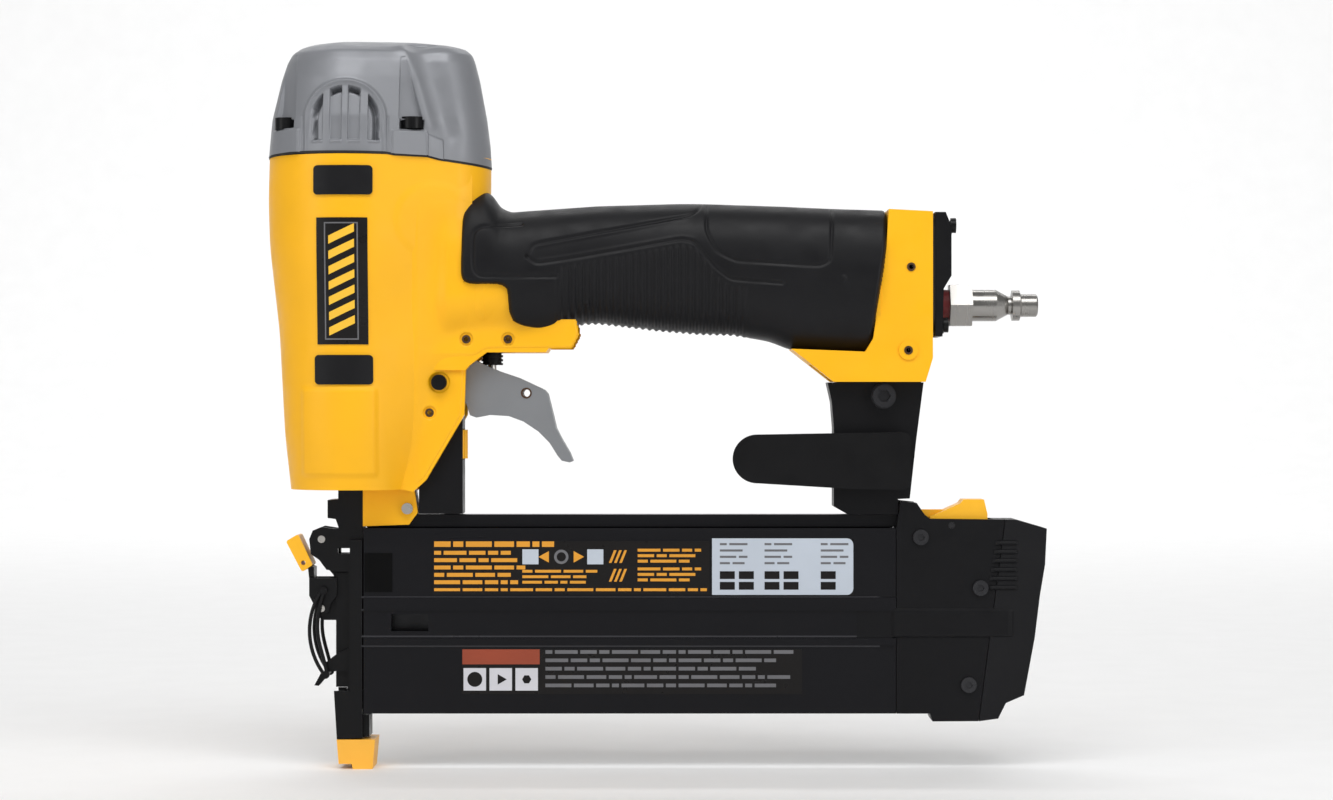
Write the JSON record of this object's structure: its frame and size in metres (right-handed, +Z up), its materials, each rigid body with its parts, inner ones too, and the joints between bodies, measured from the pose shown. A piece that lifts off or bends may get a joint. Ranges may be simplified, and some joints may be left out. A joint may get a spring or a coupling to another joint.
{
  "type": "pneumatic brad nailer",
  "caption": "Pneumatic brad nailer with a capped cylinder, rubber grip, trigger, straight brad magazine, sliding contact trip and quick-release nose door.",
  "frame": {"origin": "on the driver axis, at the bottom face of the no-mar tip where the tool meets the work", "axes": "+Z up the driver axis to the cap, +X backwards along the magazine to the air inlet, -Y the near side with the belt hook and labels"},
  "size_m": [0.2706, 0.059, 0.2525],
  "materials": {
    "yellow_casting": "light alloy casting in satin yellow paint",
    "grey_cap": "light alloy die casting in satin grey paint",
    "black_rubber": "fine matt texture",
    "black_plastic": "matt moulded",
    "black_steel": "black oxide, satin",
    "black_aluminium": "black anodised, satin",
    "bright_steel": "bright zinc or ground steel",
    "plated_plug": "nickel plated, turned",
    "red_sealant": "dried sealant",
    "seal_rubber": "matt",
    "bumper_urethane": "cast urethane, satin",
    "trigger_grey": "die casting, satin grey",
    "yellow_plastic": "moulded satin",
    "yellow_tip": "soft moulded, satin",
    "label_dark": "printed film",
    "plain_aluminium": "honed bore, hard coated",
    "brad_steel": "galvanised"
  },
  "bodies": {
    "housing": {"main_housing": "yellow_casting", "cylinder_cap": "grey_cap", "cap_gasket": "seal_rubber", "cap_screws": "black_steel", "cylinder_sleeve": "plain_aluminium", "sleeve_seals": "seal_rubber", "piston_bumper": "bumper_urethane", "side_bumpers": "black_rubber", "side_labels": "label_dark", "grip_sleeve": "black_rubber", "end_cap_gasket": "seal_rubber", "end_cap": "black_plastic", "end_cap_screws": "black_steel", "air_plug": "plated_plug", "thread_sealant": "red_sealant", "trigger_pin": "black_steel", "roll_pins": "bright_steel", "trigger_valve_body": "black_plastic", "valve_seals": "seal_rubber", "valve_spring": "bright_steel", "nose_body": "black_steel", "door_hinge_pin": "bright_steel", "nose_screws": "bright_steel", "head_valve_spring": "bright_steel", "trip_spring": "bright_steel", "depth_housing": "black_plastic", "magazine_track": "black_aluminium", "magazine_bracket": "black_plastic", "bracket_bolt": "black_steel", "belt_hook": "black_steel", "belt_hook_screws": "black_steel", "nail_strip": "brad_steel"},
    "head_valve": {"head_valve_piston": "black_plastic", "head_valve_seals": "seal_rubber"},
    "driver": {"piston": "plain_aluminium", "piston_ring": "seal_rubber", "driver_blade": "bright_steel"},
    "trigger": {"trigger": "trigger_grey", "trip_lever_rivet": "bright_steel"},
    "trip_lever": {"trip_lever": "bright_steel"},
    "valve_stem": {"valve_stem": "bright_steel"},
    "contact_trip": {"contact_trip": "black_steel", "no_mar_tip": "yellow_tip"},
    "depth_wheel": {"depth_wheel": "yellow_plastic"},
    "depth_stop": {"depth_stop": "bright_steel"},
    "magazine_slide": {"magazine_channel": "black_aluminium", "magazine_labels": "label_dark", "tail_half_near": "black_plastic", "tail_half_far": "black_plastic", "tail_bumper": "black_rubber", "tail_screws": "black_steel", "latch_pin": "bright_steel", "pusher_spring": "bright_steel"},
    "pusher": {"pusher": "bright_steel"},
    "magazine_latch": {"magazine_latch": "yellow_plastic"},
    "nose_door": {"nose_door": "black_steel", "latch_pivot_pin": "bright_steel"},
    "latch_lever": {"latch_lever": "black_steel", "latch_tip": "yellow_plastic"},
    "door_bail": {"door_bail": "black_steel"}
  },
  "joints": [
    {"name": "driver_stroke", "type": "slide", "parent": "housing", "child": "driver", "axis": [0, 0, -1], "range_m": [0, 0.0725]},
    {"name": "head_valve_lift", "type": "slide", "parent": "housing", "child": "head_valve", "axis": [0, 0, 1], "range_m": [0, 0.003], "stiffness_N_per_m": 800, "springref_m": -0.004, "deforming": ["head_valve_spring"]},
    {"name": "trigger_pull", "type": "hinge", "parent": "housing", "child": "trigger", "pos_m": [0.0314, 0, 0.1341], "axis": [0, -1, 0], "range_deg": [0, 8], "stiffness_Nm_per_rad": 0.8, "springref_deg": -2.86, "deforming": ["valve_spring"]},
    {"name": "valve_stem_lift", "type": "slide", "parent": "housing", "child": "valve_stem", "axis": [0, 0, 1], "range_m": [0, 0.002]},
    {"name": "trip_lever_swing", "type": "hinge", "parent": "trigger", "child": "trip_lever", "pos_m": [0.0613, 0, 0.1304], "axis": [0, 1, 0], "range_deg": [0, 5], "stiffness_Nm_per_rad": 0.02, "springref_deg": -5.73},
    {"name": "contact_trip_press", "type": "slide", "parent": "housing", "child": "contact_trip", "axis": [0, 0, 1], "range_m": [0, 0.008], "stiffness_N_per_m": 600, "springref_m": -0.02, "deforming": ["trip_spring"]},
    {"name": "depth_wheel_turn", "type": "hinge", "parent": "housing", "child": "depth_wheel", "pos_m": [0.0348, 0, 0.1126], "axis": [0, 0, 1], "range_deg": [0, 720]},
    {"name": "depth_stop_travel", "type": "slide", "parent": "housing", "child": "depth_stop", "axis": [0, 0, 1], "range_m": [0, 0.003]},
    {"name": "magazine_open", "type": "slide", "parent": "housing", "child": "magazine_slide", "axis": [1, 0, 0], "range_m": [0, 0.11]},
    {"name": "pusher_back", "type": "slide", "parent": "magazine_slide", "child": "pusher", "axis": [1, 0, 0], "range_m": [0, 0.055], "stiffness_N_per_m": 60, "springref_m": -0.05, "deforming": ["pusher_spring"]},
    {"name": "magazine_latch_press", "type": "hinge", "parent": "magazine_slide", "child": "magazine_latch", "pos_m": [0.209, 0, 0.0845], "axis": [0, 1, 0], "range_deg": [0, 6], "stiffness_Nm_per_rad": 0.5, "springref_deg": -5.73},
    {"name": "nose_door_open", "type": "hinge", "parent": "housing", "child": "nose_door", "pos_m": [-0.0099, 0, 0.0796], "axis": [0, 1, 0], "range_deg": [0, 90]},
    {"name": "latch_lever_flip", "type": "hinge", "parent": "nose_door", "child": "latch_lever", "pos_m": [-0.0099, 0, 0.0555], "axis": [0, -1, 0], "range_deg": [0, 105]},
    {"name": "bail_swing", "type": "hinge", "parent": "latch_lever", "child": "door_bail", "pos_m": [-0.0091, 0, 0.0618], "axis": [0, -1, 0], "range_deg": [-105, 0]}
  ],
  "couplings": [
    {"joint": "valve_stem_lift", "follows": "trigger_pull", "m_per_rad": 0.0143},
    {"joint": "depth_wheel_turn", "follows": "depth_stop_travel", "rad_per_m": 4188.8},
    {"joint": "bail_swing", "follows": "latch_lever_flip", "ratio": -1}
  ]
}
